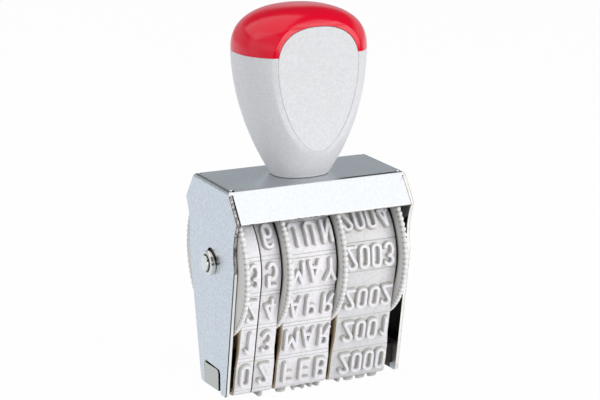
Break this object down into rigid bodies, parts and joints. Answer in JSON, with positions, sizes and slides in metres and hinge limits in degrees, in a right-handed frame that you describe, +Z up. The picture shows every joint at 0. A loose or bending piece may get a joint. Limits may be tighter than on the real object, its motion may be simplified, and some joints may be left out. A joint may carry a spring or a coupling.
{
  "type": "date stamp",
  "caption": "Hand date stamp: bent steel frame, day, month and year bands of rubber type on thumbwheels over one axle, and a two-colour palm handle.",
  "frame": {"origin": "on the surface that the type stands on, under the middle of the axle", "axes": "+X along the axle, from the day bands to the year band; -Y is the front; +Z up the handle"},
  "size_m": [0.0496, 0.0364, 0.0926],
  "materials": {
    "nickel_sheet": "satin nickel plate",
    "bright_steel": "bright",
    "plain_steel": "plain",
    "wheel_plastic": "matt moulded",
    "type_rubber": "matt moulded",
    "band_ply": "woven",
    "pale_plastic": "satin",
    "red_plastic": "gloss"
  },
  "bodies": {
    "stand": {"frame": "nickel_sheet", "axle": "bright_steel", "axle_spacer": "plain_steel", "bridge": "plain_steel", "tens_band": "type_rubber", "units_band": "type_rubber", "month_band": "type_rubber", "year_band": "type_rubber", "tens_backing": "band_ply", "units_backing": "band_ply", "month_backing": "band_ply", "year_backing": "band_ply", "handle_body": "pale_plastic", "handle_cap": "red_plastic", "handle_stud": "plain_steel", "handle_washer": "plain_steel", "handle_nut": "plain_steel"},
    "tens_wheel": {"tens_wheel": "wheel_plastic"},
    "units_wheel": {"units_wheel": "wheel_plastic"},
    "month_wheel": {"month_wheel": "wheel_plastic"},
    "year_wheel": {"year_wheel": "wheel_plastic"}
  },
  "joints": [
    {"name": "tens_spin", "type": "hinge", "parent": "stand", "child": "tens_wheel", "pos_m": [0, 0, 0.0328], "axis": [1, 0, 0], "continuous": true},
    {"name": "units_spin", "type": "hinge", "parent": "stand", "child": "units_wheel", "pos_m": [0, 0, 0.0328], "axis": [1, 0, 0], "continuous": true},
    {"name": "month_spin", "type": "hinge", "parent": "stand", "child": "month_wheel", "pos_m": [0, 0, 0.0328], "axis": [1, 0, 0], "continuous": true},
    {"name": "year_spin", "type": "hinge", "parent": "stand", "child": "year_wheel", "pos_m": [0, 0, 0.0328], "axis": [1, 0, 0], "continuous": true}
  ]
}
